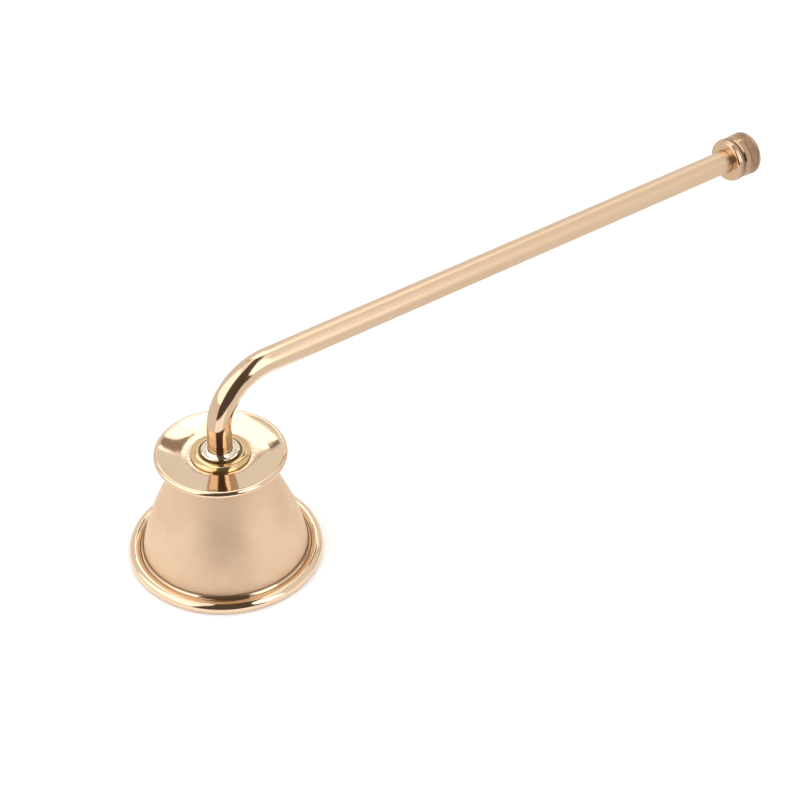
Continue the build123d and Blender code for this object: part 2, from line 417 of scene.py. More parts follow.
def geometry_tree(name, *numbers, counts=()):
    """A geometry tree with named inputs, what they give, and a function that ends it in a material."""
    tree = bpy.data.node_groups.new(name, "GeometryNodeTree")
    tree.interface.new_socket("Geometry", in_out="INPUT", socket_type="NodeSocketGeometry")
    kinds = {**dict.fromkeys(numbers, "Float"), **dict.fromkeys(counts, "Int"), "Material": "Material"}
    for key, kind in kinds.items():
        tree.interface.new_socket(key, in_out="INPUT", socket_type=f"NodeSocket{kind}")
    tree.interface.new_socket("Geometry", in_out="OUTPUT", socket_type="NodeSocketGeometry")
    source = tree.nodes.new("NodeGroupInput")
    given = {key: Sum(tree, source.outputs[key]) for key in ("Geometry", *kinds)}

    def end(geometry):
        real = add(tree, "GeometryNodeRealizeInstances", {}, {0: geometry})
        sockets = {0: real.outputs[0], "Material": given["Material"]}
        coated = add(tree, "GeometryNodeSetMaterial", {}, sockets)
        result = tree.nodes.new("NodeGroupOutput")
        tree.links.new(coated.outputs[0], result.inputs[0])

    return tree, given, end


def grown(name, tree, material, places=((0, 0, 0),), edges=(), **values):
    """A plain mesh that a geometry tree grows on some places and edges."""
    mesh = bpy.data.meshes.new(name)
    mesh.from_pydata(places, edges, [])
    piece = shown(name, mesh)
    modifier = piece.modifiers.new("grow", "NODES")
    modifier.node_group = tree
    values["Material"] = material
    for item in tree.interface.items_tree:
        if item.in_out == "INPUT" and item.name in values:
            modifier[item.identifier] = values[item.name]
    return finished(piece)


def finished(piece):
    """The piece with its modifiers worked into its mesh."""
    mesh = bpy.data.meshes.new_from_object(piece.evaluated_get(bpy.context.evaluated_depsgraph_get()))
    piece.modifiers.clear()
    piece.data = mesh
    return piece


def stood(piece, stand, start):
    """The piece's mesh moved up its own axis to its start and then to where it stands."""
    origin, first, second, axis = (np.array(way) for way in stand)
    for vertex in piece.data.vertices:
        x, y, z = vertex.co
        vertex.co = origin + x * first + y * second + (z + start) * axis
    return piece


# Finishes


class Finish:
    """A metal finish, its patterns led by the radius from the piece's axis, the height and the way round."""

    def __init__(self, name, stand=upright):
        self.material = bpy.data.materials.new(name)
        self.material.use_nodes = True
        self.tree = self.material.node_tree
        self.spot = add(self.tree, "ShaderNodeTexCoord").outputs["Object"]
        origin, first, second, axis = stand
        across, up, self.height = (self.reach(way, origin.dot(way)) for way in (first, second, axis))
        self.radius = (across * across + up * up).does("SQRT")
        self.cosine, self.sine = across / self.radius, up / self.radius
        self.bumps = None

    def reach(self, way, start):
        """How far a place is along a way, from a start."""
        node = add(self.tree, "ShaderNodeVectorMath", {"operation": "DOT_PRODUCT"}, {0: self.spot, 1: way})
        return Sum(self.tree, node.outputs["Value"]) - start

    def kept(self, attribute, output="Fac"):
        """What the mesh keeps under that name."""
        node = add(self.tree, "ShaderNodeAttribute", {"attribute_name": attribute})
        return Sum(self.tree, node.outputs[output])

    def noise(self, place, grain, detail, seed):
        """Soft noise from 0 to 1, its grain as long as given."""
        sockets = {"Vector": place, "W": seed, "Scale": 1 / grain, "Detail": detail}
        node = add(self.tree, "ShaderNodeTexNoise", {"noise_dimensions": "4D"}, sockets)
        return Sum(self.tree, node.outputs["Fac"])

    def cloud(self, grain, detail, seed):
        """Soft noise all through the piece."""
        return self.noise(self.spot, grain, detail, seed)

    def lathe_lines(self, pitch, detail, seed):
        """Noise drawn out round the axis, as fine turning or buffing leaves it."""
        round_share, slant = 0.35, 0.83
        run = (self.height - self.radius * slant) / pitch
        place = vector(self.tree, self.cosine * round_share, self.sine * round_share, run)
        return self.noise(place, 1.0, detail, seed)

    def near(self, radius, height, width):
        """1 at a ring on the piece, and nothing beyond the width from it."""
        across, up = self.radius - radius, self.height - height
        return 1 - (across * across + up * up).does("SQRT").fade(0.0, width)

    def specks(self, grain, share, shift):
        """Rare round specks: 1 within them. The share is of the grains that hold one."""
        shift = add(self.tree, "ShaderNodeVectorMath", {"operation": "ADD"}, {0: self.spot, 1: (shift,) * 3})
        cells = add(self.tree, "ShaderNodeTexVoronoi", {}, {"Vector": shift.outputs[0], "Scale": 1 / grain})
        lot = add(self.tree, "ShaderNodeSeparateColor", {}, {0: cells.outputs["Color"]}).outputs[0]
        chosen = 1 - Sum(self.tree, lot).fade(share * 0.9, share)
        return chosen * (1 - Sum(self.tree, cells.outputs["Distance"]).fade(0.08, 0.2))

    def scratches(self, grain, turn, seed):
        """Thin straight marks in one direction, few and far between."""
        mapping = {"Location": (seed, 2 * seed, 0), "Rotation": turn, "Scale": (1.0, 0.03, 1.0)}
        along = add(self.tree, "ShaderNodeMapping", {}, {"Vector": self.spot, **mapping}).outputs[0]
        thin = (self.noise(along, grain, 0.0, seed) * 2 - 1).does("ABSOLUTE")
        patch = self.cloud(6 * mm, 1.0, seed + 3).fade(0.52, 0.6)
        return (1 - thin.fade(0.0, 0.02)) * patch

    def mixed(self, share, first, second):
        """From the first colour to the second."""
        ends = ((*colour, 1) if isinstance(colour, tuple) else colour for colour in (first, second))
        sockets = dict(zip((0, 6, 7), (share, *ends)))
        return add(self.tree, "ShaderNodeMix", {"data_type": "RGBA"}, sockets).outputs[2]

    def bump(self, height, depth):
        """Relief of a depth, on top of what is there."""
        sockets = {"Height": height, "Distance": depth}
        if self.bumps:
            sockets["Normal"] = self.bumps
        self.bumps = add(self.tree, "ShaderNodeBump", {}, sockets).outputs[0]

    def done(self, colour, roughness):
        """The material, with its colour, roughness and relief."""
        sockets = {"Metallic": 1, "Base Color": colour, "Roughness": roughness, "Normal": self.bumps}
        plug(self.tree, self.tree.nodes["Principled BSDF"], sockets)
        return self.material


def darkened(colour, share):
    """The colour with that share of its light."""
    return tuple(share * part for part in colour)


def satin_finish(name, colour, deep, inside):
    """Fine circumferential satin with soft clouds in its tone, a few pits, a duller hollow side, and painted
    shade at its foot by the rim and round its neck under the dish.
    """
    metal = Finish(name)
    clouds = metal.cloud(7 * mm, 2.0, 1.0)
    lines = metal.lathe_lines(0.16 * mm, 3.0, 2.0)
    pits = metal.specks(5 * mm, 0.1, 0.013)
    hollow = metal.kept("hollow")
    # Painted shade: darker at the foot, where the rim moulding meets the skirt, and round the neck under the
    # dish.
    foot = 1 - metal.height.fade(rim_top, rim_top + 0.5 * mm)
    shade = metal.near(neck_radius, bell_height, 1.6 * mm)
    tone = metal.mixed(clouds.fade(0.3, 0.75) * 0.35 + lines * 0.12, colour, deep)
    tone = metal.mixed(((foot + shade) * 0.5).held(), tone, deep)
    tone = metal.mixed((pits * 0.6).held(), tone, inside)
    tone = metal.mixed(hollow * 0.75, tone, inside)
    rough = 0.48 + clouds * 0.1 + lines * 0.08 + pits * 0.2 + hollow * 0.08
    metal.bump(lines, 1.6e-6)
    metal.bump(metal.cloud(2.5 * mm, 1.0, 5.0), 2.5e-6)
    metal.bump(1 - pits, 6e-6)
    return metal.done(tone, rough)


def polished_finish(name, stand, colour, deep, shade_and_residue_rings, haze=0.012, lines=0.02, ripple=0.2e-6):
    """A buffed mirror: some haze, buffing lines, a few hair scratches, and darkening round the given rings
    that is partly residue and partly painted shade.
    """
    metal = Finish(name, stand)
    smear = metal.cloud(9 * mm, 3.0, 1.0).fade(0.45, 0.8)
    buffing = metal.lathe_lines(0.3 * mm, 2.0, 2.0)
    hair = metal.scratches(1.1 * mm, (0.3, 0.2, 0.5), 1.0) + metal.scratches(1.3 * mm, (0.1, 0.4, -0.9), 2.0)
    # Painted shade and residue: the tone darkens round each given ring, at creases, at joints between parts
    # and on the neck ring's flank.
    residue_and_shade = 0.0
    for radius, height, width in shade_and_residue_rings:
        residue_and_shade = metal.near(radius, height, width) + residue_and_shade
    grime_and_shade = (residue_and_shade * (0.75 + metal.cloud(0.8 * mm, 2.0, 4.0) * 0.5)).held()
    tone = metal.mixed(smear * 0.12 + buffing * 0.06, colour, deep)
    tone = metal.mixed(grime_and_shade * 0.9, tone, darkened(deep, 0.22))
    rough = haze + smear * 0.02 + buffing * lines + hair.held() * 0.06 + grime_and_shade * 0.35
    metal.bump(buffing, 0.06e-6)
    metal.bump(metal.cloud(3.5 * mm, 1.0, 6.0), 1.6e-6)
    metal.bump(metal.cloud(1.3 * mm, 1.0, 8.0), ripple)
    metal.bump(1 - hair.held(), 0.12e-6)
    return metal.done(tone, rough)


def drawn_finish(name, colour, deep):
    """Drawn tube: long faint lines, soft clouds, haze worn in by hands beyond the bend, and painted shade
    darkening its foot where it leaves the ferrule.
    """
    metal = Finish(name)
    along = metal.kept("along")
    side = add(metal.tree, "ShaderNodeSeparateXYZ", {}, {0: metal.kept("round", "Vector")}).outputs
    first, second = Sum(metal.tree, side[0]), Sum(metal.tree, side[1])

    def drawn(width, length, detail, seed):
        """Noise in streaks of that width and length."""
        place = vector(metal.tree, first / width, second / width, along / length)
        return metal.noise(place, 1.0, detail, seed)

    lines = drawn(0.22 * mm, 45 * mm, 3.0, 1.0)
    streaks = drawn(0.8 * mm, 60 * mm, 2.0, 2.0)
    clouds = metal.cloud(10 * mm, 3.0, 3.0)
    hair = metal.scratches(1.2 * mm, (0.2, 0.9, 0.3), 3.0)
    rise = axis_height - tube_foot
    hazed = along.fade(rise - 2 * mm, rise + 20 * mm)
    tone = metal.mixed((streaks - 0.4) * 2.0 + (lines - 0.5) * 0.4 + clouds * 0.2, colour, deep)
    # Painted shade: the tube darkens for its first few millimetres, where it rises out of the ferrule.
    painted_foot_shade = 1 - along.fade(4.5 * mm, 8 * mm)
    tone = metal.mixed(painted_foot_shade * (0.5 + clouds * 0.3), tone, darkened(deep, 0.6))
    rough = 0.035 + hazed * (0.26 + (streaks - 0.5) * 0.12) + lines * 0.04 + clouds * 0.03 + hair * 0.08
    metal.bump(lines, 0.5e-6)
    metal.bump(streaks, 3e-6)
    metal.bump(clouds, 3e-6)
    return metal.done(tone, rough)


def knurled_finish(name, colour, deep):
    """The knob's brass: polished lands, residue deep in the knurl and the groove, crests worn bright."""
    metal = Finish(name, on_handle)
    band = metal.height.fade(knurl_start, knurl_start + fine_edge)
    band = band * (1 - metal.height.fade(knurl_end - fine_edge, knurl_end))
    depth = 1 - metal.radius.fade(knob_reach - knurl_depth, knob_reach - 0.3 * knurl_depth)
    groove = metal.near(knob_land_reach - knob_groove_depth, knurl_start - knob_groove_width / 2, 0.22 * mm)
    smear = metal.cloud(5 * mm, 3.0, 1.0)
    buffing = metal.lathe_lines(0.22 * mm, 2.0, 2.0)
    grime_and_shade = (band * depth * (0.55 + metal.cloud(1.2 * mm, 2.0, 4.0) * 0.6) + groove).held()
    tone = metal.mixed(smear * 0.3 + buffing * 0.1, colour, deep)
    tone = metal.mixed(grime_and_shade * 0.6, tone, darkened(deep, 0.4))
    rough = 0.06 + smear * 0.08 + buffing * 0.05 + grime_and_shade * 0.3 + band * 0.08
    metal.bump(buffing, 0.25e-6)
    metal.bump(metal.cloud(3 * mm, 1.0, 6.0), 2e-6)
    return metal.done(tone, rough)


def zinc_finish(name, colour, deep):
    """Zinc-plated steel, with a fine grain, cloudy tone and tool marks."""
    metal = Finish(name)
    clouds = metal.cloud(1.6 * mm, 3.0, 1.0)
    grain = metal.cloud(0.12 * mm, 2.0, 2.0)
    marks = metal.scratches(0.5 * mm, (0.5, 0.1, 0.8), 1.0)
    tone = metal.mixed(clouds.fade(0.3, 0.75), colour, deep)
    rough = 0.24 + clouds * 0.14 + grain * 0.08 + marks * 0.1
    metal.bump(grain, 1.5e-6)
    metal.bump(1 - marks, 1e-6)
    return metal.done(tone, rough)


rose, deep_rose, dull_rose = (0.86, 0.66, 0.475), (0.76, 0.53, 0.35), (0.42, 0.27, 0.16)
# The third colour on the next line is the knob's base, darkened as painted shade for the dimmer reflections
# at the handle's end.
pale_rose, tube_rose, shade_darkened_rose = (0.94, 0.83, 0.67), (0.80, 0.61, 0.43), (0.61, 0.41, 0.265)
gold, deep_gold = (0.80, 0.59, 0.32), (0.60, 0.38, 0.16)
steel, blue_steel = (0.62, 0.62, 0.60), (0.50, 0.53, 0.56)
# Rings that the polished finishes darken, each a radius, a height and a width: partly residue in creases,
# partly painted shade at joints between parts, under the dish and the ferrule, and on the neck ring's flank.
rim_shade_and_residue_rings = (
    (rim_groove_radius, rim_groove_height, 0.38 * mm),
    (skirt_foot + rim_step_ledge, rim_top, 0.48 * mm),
)
dish_shade_and_residue_rings = ((neck_radius, bell_height, 0.8 * mm), (collar_reach, dish_floor, 0.28 * mm))
ferrule_shade_and_residue_rings = ((ferrule_reach, ferrule_base, 0.3 * mm), (tube_radius, ferrule_top, 0.2 * mm))
collar_shade_and_residue_rings = (
    (collar_reach, dish_floor, 0.3 * mm),
    # Painted shade on the collar's top under the ferrule.
    (ferrule_reach + collar_recess_gap / 2, ferrule_base, 0.9 * mm),
)
ring_shade_and_residue_rings = (
    (tube_radius, ring_mouth, 0.2 * mm),
    (hub_radius, knob_front, 0.6 * mm),
    # Painted shade over the ring's flank, dimming its highlight.
    (ring_edge_reach, knob_front, 2.6 * mm),
)
satin_rose_brass = satin_finish("satin rose brass", rose, deep_rose, dull_rose)
rim_brass = polished_finish("rim brass", upright, rose, deep_rose, rim_shade_and_residue_rings)
dish_brass = polished_finish("dish brass", upright, rose, deep_rose, dish_shade_and_residue_rings, 0.07, ripple=9e-6)
ferrule_brass = polished_finish("ferrule brass", upright, pale_rose, rose, ferrule_shade_and_residue_rings, 0.05)
# The ring's base takes the deeper rose: painted shade for the dimmer reflections at the handle's end.
ring_brass = polished_finish("ring brass", on_handle, deep_rose, dull_rose, ring_shade_and_residue_rings, 0.07, 0.06)
tube_rose_brass = drawn_finish("tube rose brass", tube_rose, deep_rose)
collar_brass = polished_finish("collar brass", upright, gold, deep_gold, collar_shade_and_residue_rings, 0.09, 0.06)
bush_brass = polished_finish("bush brass", on_handle, gold, deep_gold, (), 0.12, 0.1)
# The knob's base colour is painted shade for the dimmer reflections at the handle's end.
knob_brass = knurled_finish("knob brass", shade_darkened_rose, dull_rose)
fixing_steel = zinc_finish("fixing steel", steel, blue_steel)


# Pieces of the bell


def rim_moulding():
    bore, rebate = skirt_foot - skirt_wall, skirt_foot + slip_fit
    groove = complex(rim_groove_radius, rim_groove_height)
    low_angle = -asin(rim_roll_centre.imag / rim_roll)
    high_angle = pi - asin(rim_groove_drop / rim_roll)
    roll = rolled(rim_roll_centre, rim_roll * cmath.exp(1j * low_angle), high_angle - low_angle, 72)
    step_top = complex(skirt_foot + rim_step_ledge, rim_top)
    runs = [
        *cornered((bore, 0), roll[0][0]),
        roll,
        bowed(groove, step_top, -rim_step_bow, 48),
        *cornered(step_top, (rebate, rim_top), (rebate, skirt_seat), (bore, skirt_seat), (bore, 0)),
    ]
    return turned("rim", joined(runs, fine_edge), upright)


def flare(inset):
    """Places up the flare, drawn in by the inset."""
    return [
        complex(
            neck_radius + (skirt_foot - neck_radius) * radius_share - inset,
            flare_foot + (bell_height - flare_foot) * height_share,
        )
        for height_share, radius_share in zip(flare_height_shares, flare_radius_shares)
    ]


def bell_skirt():
    crown_base = bell_height - crown_thickness
    outside = flared(flare(0))
    inside = [at for at in flared(flare(skirt_wall)[::-1]) if at[0].imag < crown_base]
    runs = [
        *cornered((skirt_foot, skirt_seat), outside[0][0]),
        outside,
        *cornered(outside[-1][0], (bolt_hole, bell_height), (bolt_hole, crown_base), inside[0][0]),
        inside,
        *cornered(inside[-1][0], (skirt_foot - skirt_wall, skirt_seat), (skirt_foot, skirt_seat)),
    ]
    return turned("skirt", joined(runs, soft_edge), upright)


def top_dish():
    bead_centre = complex(bead_reach - bead_radius, bead_top - bead_radius)
    foot = complex(neck_radius + dish_foot_share * (bead_centre.real - neck_radius), bell_height)
    lift = dish_floor + dish_rise - bead_centre.imag
    bead = rolled(bead_centre, -1j * bead_radius, 1.5 * pi - asin(lift / bead_radius), 96)
    level_edge = complex(dish_level_radius, dish_floor)
    runs = [
        *cornered((bolt_hole, bell_height), foot),
        bowed(foot, bead[0][0], dish_cove_bow),
        bead,
        bowed(bead[-1][0], level_edge, dish_bow, 48),
        *cornered(level_edge, (bolt_hole, dish_floor), (bolt_hole, bell_height)),
    ]
    return turned("dish", joined(runs, soft_edge), upright)


def check_collar():
    recess = ferrule_reach + collar_recess_gap
    outer_top = complex(collar_reach, dish_floor + collar_edge_height)
    land = complex(recess + collar_land, collar_top)
    runs = [
        *cornered((bolt_hole, dish_floor), (collar_reach, dish_floor), outer_top),
        bowed(outer_top, land, -collar_bow),
        *cornered(
            land,
            (recess, collar_top),
            (recess, ferrule_base),
            (bolt_hole, ferrule_base),
            (bolt_hole, dish_floor),
        ),
    ]
    return turned("collar", joined(runs, fine_edge), upright)


def foot_ferrule():
    socket, bore = tube_radius + slip_fit, stud_radius + slip_fit
    lip = complex(ferrule_reach, ferrule_base + ferrule_lip)
    mouth = complex(socket + ferrule_mouth_wall, ferrule_top)
    runs = [
        *cornered(
            (bore, ferrule_base),
            (ferrule_reach - ferrule_chamfer, ferrule_base),
            (ferrule_reach, ferrule_base + ferrule_chamfer),
            lip,
        ),
        bowed(lip, mouth, ferrule_cove_bow),
        *cornered(mouth, (socket, ferrule_top), (socket, tube_foot), (bore, tube_foot), (bore, ferrule_base)),
    ]
    return turned("ferrule", joined(runs, fine_edge), upright)


# Handle


def tube_tree():
    """A round tube wall along a route of edges, which keeps the ways along and round it for its finish."""
    tree, given, end = geometry_tree("bent tube", "Tube Radius", counts=("Sides",))
    route = add(tree, "GeometryNodeMeshToCurve", {}, {0: given["Geometry"]})
    circle = {"Resolution": given["Sides"], "Radius": given["Tube Radius"]}
    ring = add(tree, "GeometryNodeCurvePrimitiveCircle", {}, circle)
    length = add(tree, "GeometryNodeSplineParameter").outputs["Length"]
    spot = add(tree, "GeometryNodeInputPosition").outputs[0]

    def marked(curve, name, kind, value):
        """The curve, keeping the value at its points."""
        sockets = {"Geometry": curve.outputs[0], "Name": name, "Value": value}
        return add(tree, "GeometryNodeStoreNamedAttribute", {"data_type": kind}, sockets).outputs[0]

    route, ring = marked(route, "along", "FLOAT", length), marked(ring, "round", "FLOAT_VECTOR", spot)
    wall = add(tree, "GeometryNodeCurveToMesh", {}, {"Curve": route, "Profile Curve": ring})
    smooth = add(tree, "GeometryNodeSetShadeSmooth", {}, {"Geometry": wall.outputs[0]})
    end(smooth.outputs[0])
    return tree


def handle_tube():
    short = 0.5 * mm
    bend_foot = axis_height - tube_bend
    turns = np.linspace(0, pi / 2, bend_steps + 1)
    route = [(0, 0, tube_foot), (0, 0, tube_foot + short), (0, 0, bend_foot - short)]
    route += [(tube_bend * (1 - cos(turn)), 0, bend_foot + tube_bend * sin(turn)) for turn in turns]
    route += [(reach, 0, axis_height) for reach in (tube_bend + short, tube_end - short, tube_end)]
    steps = [(index, index + 1) for index in range(len(route) - 1)]
    sizes = {"Tube Radius": tube_radius, "Sides": tube_sides}
    tube = grown("tube", tube_tree(), tube_rose_brass, route, steps, **sizes)
    wall = tube.modifiers.new("wall", "SOLIDIFY")
    wall.thickness, wall.offset = tube_wall, -1
    ends = tube.modifiers.new("ends", "BEVEL")
    ends.width, ends.segments, ends.harden_normals = fine_edge, 3, True
    ends.limit_method, ends.angle_limit = "ANGLE", radians(60)
    return finished(tube)


# Threads and knurl


def thread_tree():
    """A right-hand thread's ridge about the Z axis."""
    tree, given, end = geometry_tree("thread ridge", "Pitch", "Turns", "Root Radius", "Depth")
    pitch, turns, root = given["Pitch"], given["Turns"], given["Root Radius"]
    climb = {"Resolution": 40, "Rotations": turns, "Height": pitch * turns}
    helix = add(tree, "GeometryNodeCurveSpiral", {}, {"Start Radius": root, "End Radius": root, **climb})
    level = add(tree, "GeometryNodeSetCurveNormal", {"mode": "Z_UP"}, {0: helix.outputs[0]})
    diamond = add(tree, "GeometryNodeCurvePrimitiveCircle", {}, {"Resolution": 4})
    shape = vector(tree, given["Depth"], pitch * thread_foot_share, 1.0)
    ridge = add(tree, "GeometryNodeTransform", {}, {"Geometry": diamond.outputs[0], "Scale": shape})
    sweep = {"Curve": level.outputs[0], "Profile Curve": ridge.outputs[0], "Fill Caps": True}
    end(add(tree, "GeometryNodeCurveToMesh", {}, sweep).outputs[0])
    return tree


def knurl_tree():
    """Rows of flat-topped diamond studs round the Z axis, each row half a stud on from the last."""
    counts = ("Teeth", "Rows")
    tree, given, end = geometry_tree("knurl", "Radius", "Length", "Depth", "Top Share", counts=counts)
    teeth, rows, radius, length = (given[key] for key in (*counts, "Radius", "Length"))
    index = Sum(tree, add(tree, "GeometryNodeInputIndex").outputs[0])
    row = (index / teeth).does("FLOOR")
    angle = (index - row * teeth + row * 0.5) * (2 * pi) / teeth
    pitch = length / (rows + 1)
    spot = vector(tree, radius * angle.does("COSINE"), radius * angle.does("SINE"), pitch * (row + 1))
    spots = add(tree, "GeometryNodePoints", {}, {"Count": teeth * rows, "Position": spot})
    pyramid = {"Vertices": 4, "Radius Top": given["Top Share"], "Depth": 1.0}
    stud = add(tree, "GeometryNodeMeshCone", {}, pyramid)
    placed = {
        "Points": spots.outputs[0],
        "Instance": stud.outputs["Mesh"],
        "Rotation": vector(tree, 0.0, pi / 2, angle),
        "Scale": vector(tree, pitch, radius * pi / teeth, given["Depth"]),
    }
    end(add(tree, "GeometryNodeInstanceOnPoints", {}, placed).outputs[0])
    return tree


def threaded_stud(name, stand, radius, pitch, tip, chamfer, thread_end, *head):
    """A stud with a thread from its tip up, a plain shank above it and the places of its head."""
    depth = thread_depth_share * pitch
    root = radius - depth
    shank = [
        (0, tip),
        (root - chamfer, tip),
        (root, tip + chamfer),
        (root, thread_end),
        (radius, thread_end + chamfer),
    ]
    section = joined(cornered(*shank, *head), fine_edge, closed=False)
    core = turned(f"{name}_core", section, stand, closed=False, turns=96)
    start = tip + pitch / 2
    sizes = {"Pitch": pitch, "Turns": (thread_end - start) / pitch, "Root Radius": root, "Depth": depth}
    ridge = grown(f"{name}_ridge", thread_tree(), fixing_steel, **sizes)
    return fused(name, core, stood(ridge, stand, start))


# Fixings under the crown


def square_cut(inner, outer, low, high, edge):
    """The section of a plain ring."""
    corners = [(inner, low), (outer, low), (outer, high), (inner, high)]
    return joined(cornered(*corners, corners[0]), edge)


def foot_stud():
    head = [
        (stud_radius, tube_foot),
        (plug_radius, tube_foot),
        (plug_radius, stud_plug_top),
        (0, stud_plug_top),
    ]
    thread_end = spring_face + stud_pitch / 2
    return threaded_stud("stud", upright, stud_radius, stud_pitch, stud_tip, stud_chamfer, thread_end, *head)


def clamp_washer():
    return turned("washer", square_cut(bolt_hole, washer_reach, washer_base, washer_face, soft_edge), upright)


def spring_washer():
    """A split ring, its slit slanted by turning each height on a little."""
    bore, middle = stud_radius + slip_fit, (spring_base + spring_face) / 2
    cut = square_cut(bore, spring_reach, spring_base, spring_face, fine_edge)
    gap = spring_split / spring_reach / 2
    slant = spring_split_slant / spring_reach / (spring_face - spring_base)
    stations = np.linspace(-pi + gap, pi - gap, 121)
    places = [
        (point.real * cos(turn), point.real * sin(turn), point.imag)
        for station in stations
        for point, _ in cut
        for turn in [station + slant * (point.imag - middle)]
    ]
    count = len(cut)
    faces = woven(len(stations), count, row_closes=True)
    faces += [list(range(count)), list(range(len(places) - 1, len(places) - 1 - count, -1))]
    return meshed("lock_washer", places, faces, crease=radians(35))


def clamp_nut():
    """A hexagon nut. Its section reaches out to the flat at each angle, so the chamfer arcs over a corner."""
    bore = stud_radius + slip_fit
    turns, places = 144, []
    for turn in range(turns):
        angle = 2 * pi * turn / turns
        off_flat = (angle + pi / 6) % (pi / 3) - pi / 6
        reach = nut_flat / cos(off_flat)
        rise = nut_chamfer * (reach - nut_flat) / (nut_corner - nut_flat)
        section = [
            (bore, nut_base + nut_chamfer),
            (bore + nut_chamfer, nut_base),
            (nut_flat, nut_base),
            (reach, nut_base + rise),
            (reach, nut_face),
            (bore + nut_chamfer, nut_face),
            (bore, nut_face - nut_chamfer),
        ]
        places += [(radius * cos(angle), radius * sin(angle), height) for radius, height in section]
    return meshed("nut", places, woven(turns, len(section), True, True), crease=radians(20))


# Handle's end


def end_bush():
    section = square_cut(knob_stud_radius + running_fit, plug_radius, bush_inner_end, 0, soft_edge)
    return turned("bush", section, on_handle, turns=128)


def neck_ring():
    bore = tube_radius + running_fit
    round_centre = complex(ring_shoulder_reach - ring_shoulder_round, ring_mouth + ring_shoulder_round)
    shoulder = rolled(round_centre, -1j * ring_shoulder_round, pi / 2, 32)
    back = complex(ring_edge_reach, knob_front)
    crest_height = (round_centre.imag + knob_front) / 2
    crest_rise = ring_crest_reach - (ring_shoulder_reach + ring_edge_reach) / 2
    crest_bow = crest_rise / (knob_front - crest_height) / 2
    hub_bore, recess = hub_radius + running_fit, hub_lip_radius + running_fit
    runs = [
        *cornered((bore, ring_mouth), shoulder[0][0]),
        shoulder,
        bowed(shoulder[-1][0], back, -crest_bow, 48),
        *cornered(
            back,
            (hub_bore, knob_front),
            (hub_bore, ring_recess_depth),
            (recess, ring_recess_depth),
            (recess, 0),
            (bore, 0),
            (bore, ring_mouth),
        ),
    ]
    return turned("ring", joined(runs, fine_edge), on_handle, turns=192)


def end_knob():
    shoulder = complex(knob_reach * knob_dome_share, knurl_end + knob_shoulder_length)
    root = knob_reach - knurl_depth
    dome_height = knob_tip - shoulder.imag
    dome_radius = (shoulder.real**2 + dome_height**2) / (2 * dome_height)
    dome_centre = complex(0, knob_tip - dome_radius)
    dome_sweep = asin(shoulder.real / dome_radius)
    runs = [
        *cornered(
            (0, hub_lip_front),
            (hub_lip_radius, hub_lip_front),
            (hub_lip_radius, hub_lip_back),
            (hub_radius, hub_lip_back),
            (hub_radius, knob_front),
            (knob_front_reach, knob_front),
            (knob_land_reach, knob_land_start),
            (knob_land_reach, knob_groove_start),
            (knob_land_reach - knob_groove_depth, knob_groove_start + knob_groove_width / 2),
            (knob_reach, knurl_start),
            (root, knurl_start + knurl_depth),
            (root, knurl_end - knurl_depth),
            (knob_reach, knurl_end),
        ),
        bowed(complex(knob_reach, knurl_end), shoulder, -knob_shoulder_bow, 32),
        rolled(dome_centre, shoulder - dome_centre, dome_sweep, 24),
    ]
    body = turned("knob_body", joined(runs, fine_edge, closed=False), on_handle, closed=False, turns=240)
    sizes = {"Radius": root - fine_edge, "Length": knurl_length - 2 * knurl_depth, "Depth": knurl_depth}
    sizes |= {"Teeth": knurl_teeth, "Rows": knurl_rows, "Top Share": knurl_top_share}
    studs = grown("knob_knurl", knurl_tree(), knob_brass, **sizes)
    return fused("knob_end", body, stood(studs, on_handle, knurl_start + knurl_depth))


def knob_stud():
    shank = (knob_stud_radius, knob_stud_pitch, knob_stud_tip, fine_edge, knob_front)
    return threaded_stud("screw", on_handle, *shank, (knob_stud_radius, knob_stud_head), (0, knob_stud_head))


# Every piece stands for its own solid, rides on that solid's body and takes its finish
makers = {
    "rim_moulding": (rim_moulding, rim_brass, "polished_rose_brass"),
    "bell_skirt": (bell_skirt, satin_rose_brass, "satin_rose_brass"),
    "top_dish": (top_dish, dish_brass, "polished_rose_brass"),
    "check_collar": (check_collar, collar_brass, "yellow_brass"),
    "foot_ferrule": (foot_ferrule, ferrule_brass, "polished_rose_brass"),
    "handle_tube": (handle_tube, tube_rose_brass, "tube_rose_brass"),
    "foot_stud": (foot_stud, fixing_steel, "fixing_steel"),
    "clamp_washer": (clamp_washer, fixing_steel, "fixing_steel"),
    "spring_washer": (spring_washer, fixing_steel, "fixing_steel"),
    "clamp_nut": (clamp_nut, fixing_steel, "fixing_steel"),
    "end_bush": (end_bush, bush_brass, "yellow_brass"),
    "neck_ring": (neck_ring, ring_brass, "polished_rose_brass"),
    "end_knob": (end_knob, knob_brass, "knob_brass"),
    "knob_stud": (knob_stud, fixing_steel, "fixing_steel"),
}
for node, (make, material, slot) in makers.items():
    piece = make()
    piece.data.materials.clear()
    piece.data.materials.append(material)
    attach(piece, frame["nodes"][node]["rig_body"])
    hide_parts(node)


# Studio. Ways round the object are given as the camera sees them: azimuth 0 looks away from the camera
# along the floor, and turns to its right.
camera_place = Vector((-234.6, -402.1, 424.4)) * mm
camera_aim = Vector((50.1, -7.2, 30.0)) * mm
camera_lens = 109.37
camera_roll = radians(0.136)
paper_tint, dark_tint, copper_tint = (1.0, 0.98, 0.95), (1.0, 0.77, 0.58), (1.0, 0.53, 0.36)
light_reach = 1.2
tent_reach, tent_height = 1.5, 4.6
sheet_lift, sheet_reaches = 0.2 * mm, (0.05, 1.49)
apron_lift, apron_reaches = 0.3 * mm, (0.165, 0.998)
floor_opening, floor_reach = 24.3 * mm, 3.0


